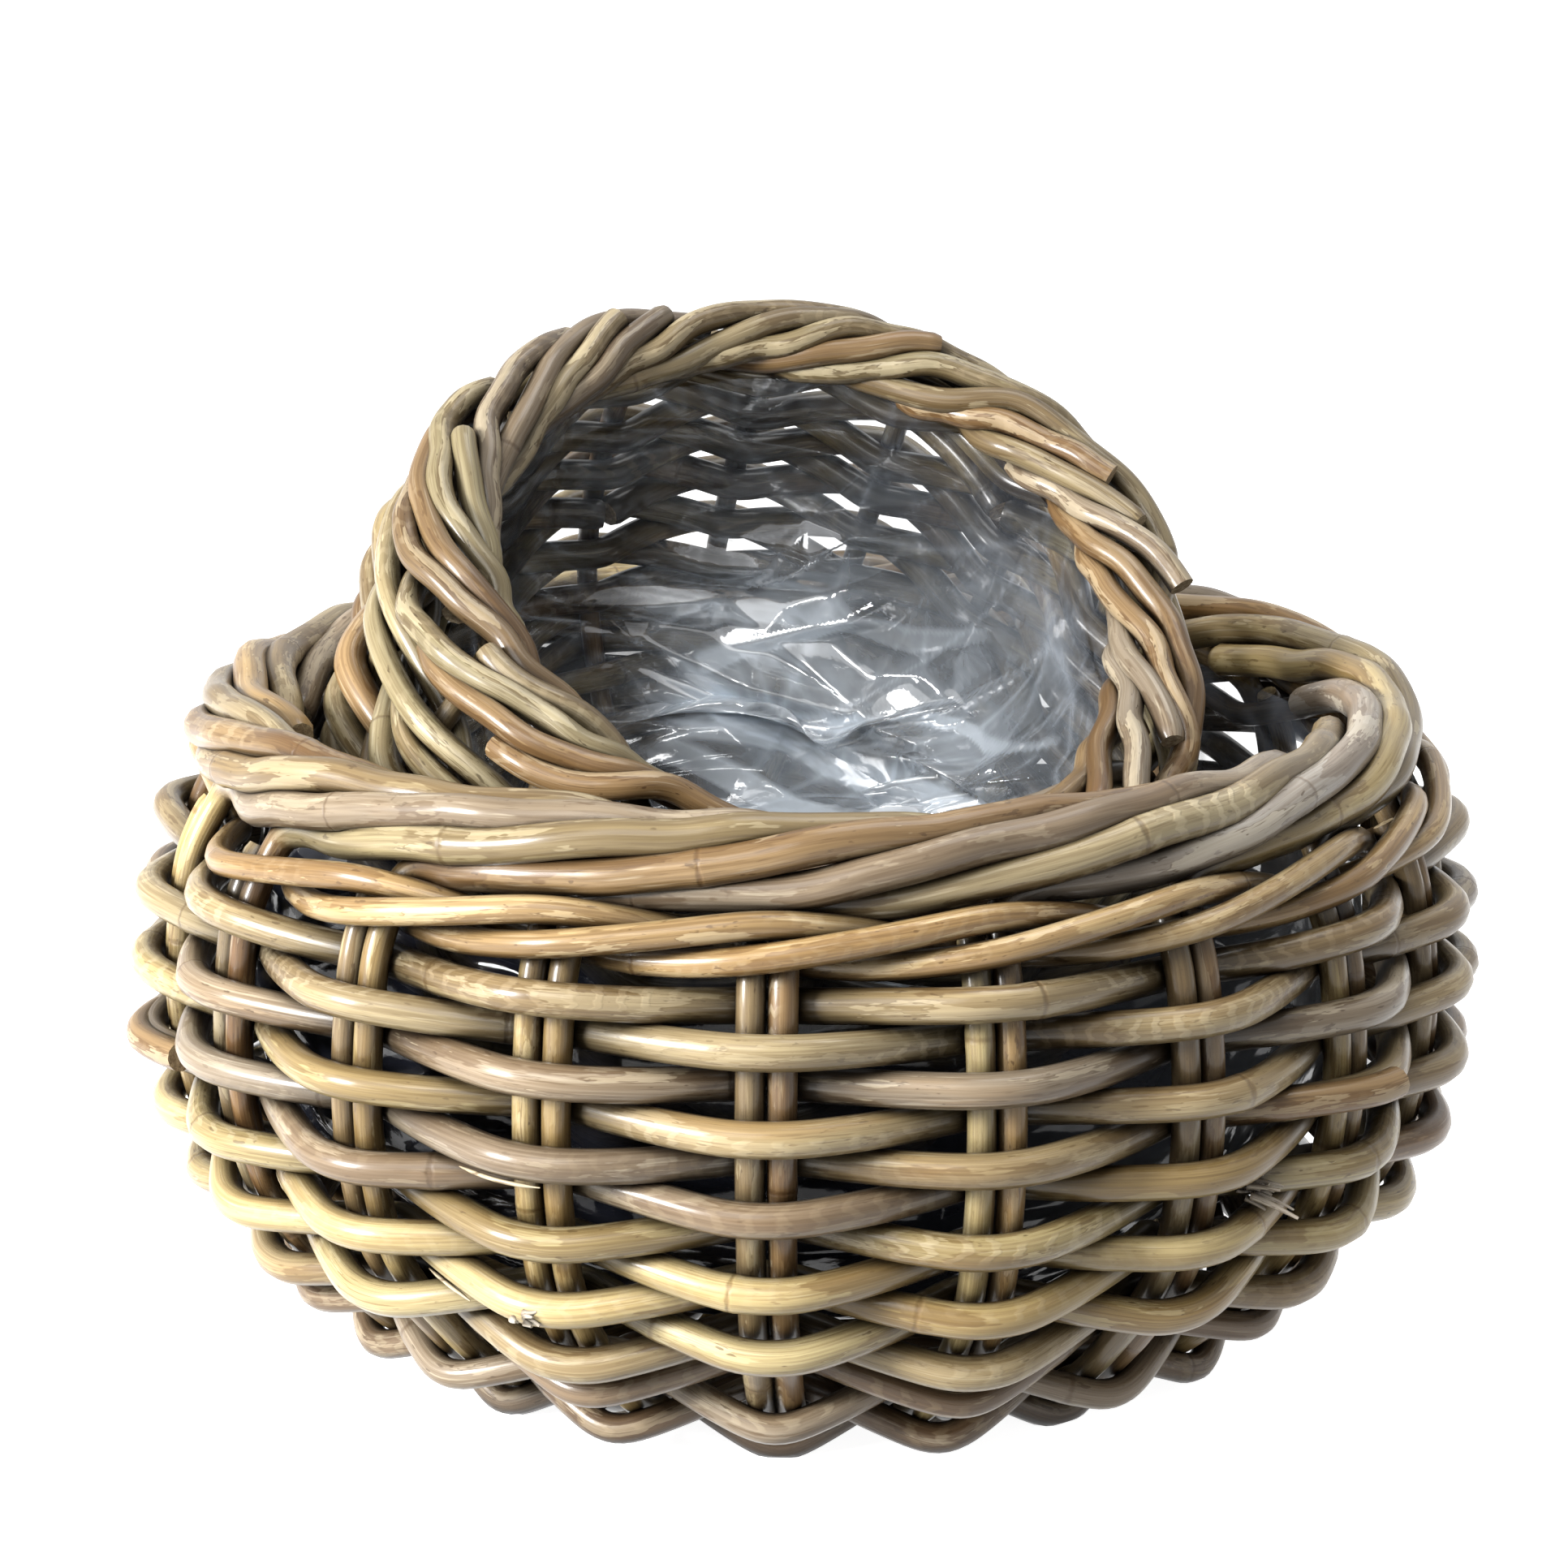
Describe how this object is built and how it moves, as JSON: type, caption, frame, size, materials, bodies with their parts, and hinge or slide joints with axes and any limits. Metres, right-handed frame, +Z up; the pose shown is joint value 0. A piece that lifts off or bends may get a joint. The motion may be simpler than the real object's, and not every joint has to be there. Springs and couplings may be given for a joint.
{
  "type": "nested planter baskets",
  "caption": "Round woven rattan planter basket with a film liner and a smaller matching basket tipped inside it, which lifts out; holds potted plants.",
  "frame": {"origin": "middle of the large basket's underside, on the surface it stands on", "axes": "+Z up, the viewer of the picture at -Y, +X to the viewer's right"},
  "size_m": [0.4046, 0.4024, 0.2956],
  "materials": {
    "weaver_cane": "peeled and smoked rattan cane, satin",
    "upright_cane": "rattan cane, satin",
    "honey_cane": "honey rattan cane, satin",
    "film": "clear plastic film"
  },
  "bodies": {
    "large_basket": {"large_upright_01": "upright_cane", "large_upright_02": "upright_cane", "large_upright_03": "upright_cane", "large_upright_04": "upright_cane", "large_upright_05": "upright_cane", "large_upright_06": "upright_cane", "large_upright_07": "upright_cane", "large_upright_08": "upright_cane", "large_upright_09": "upright_cane", "large_upright_10": "upright_cane", "large_upright_11": "upright_cane", "large_upright_12": "upright_cane", "large_upright_13": "upright_cane", "large_upright_14": "upright_cane", "large_upright_15": "upright_cane", "large_upright_16": "upright_cane", "large_upright_17": "upright_cane", "large_upright_18": "upright_cane", "large_upright_19": "upright_cane", "large_upright_20": "upright_cane", "large_weaver_row_01": "weaver_cane", "large_weaver_row_02": "weaver_cane", "large_weaver_row_03": "weaver_cane", "large_weaver_row_04": "weaver_cane", "large_weaver_row_05": "weaver_cane", "large_weaver_row_06": "weaver_cane", "large_weaver_row_07": "weaver_cane", "large_weaver_row_08": "weaver_cane", "large_weaver_row_09": "weaver_cane", "large_weaver_row_10": "weaver_cane", "large_weaver_row_11": "weaver_cane", "large_wale_cane_1": "honey_cane", "large_wale_cane_2": "honey_cane", "large_wale_cane_3": "honey_cane", "large_base_weave": "weaver_cane", "large_liner": "film"},
    "small_basket": {"small_upright_01": "upright_cane", "small_upright_02": "upright_cane", "small_upright_03": "upright_cane", "small_upright_04": "upright_cane", "small_upright_05": "upright_cane", "small_upright_06": "upright_cane", "small_upright_07": "upright_cane", "small_upright_08": "upright_cane", "small_weaver_row_01": "weaver_cane", "small_weaver_row_02": "weaver_cane", "small_weaver_row_03": "weaver_cane", "small_weaver_row_04": "weaver_cane", "small_weaver_row_05": "weaver_cane", "small_weaver_row_06": "weaver_cane", "small_weaver_row_07": "weaver_cane", "small_weaver_row_08": "weaver_cane", "small_weaver_row_09": "weaver_cane", "small_weaver_row_10": "weaver_cane", "small_weaver_row_11": "weaver_cane", "small_wale_cane_1": "honey_cane", "small_wale_cane_2": "honey_cane", "small_wale_cane_3": "honey_cane", "small_base_weave": "weaver_cane", "small_liner": "film"}
  },
  "joints": [
    {"name": "small_basket_lift", "type": "slide", "parent": "large_basket", "child": "small_basket", "axis": [0.1, -0.3, 0.9487], "range_m": [0, 0.22]}
  ]
}
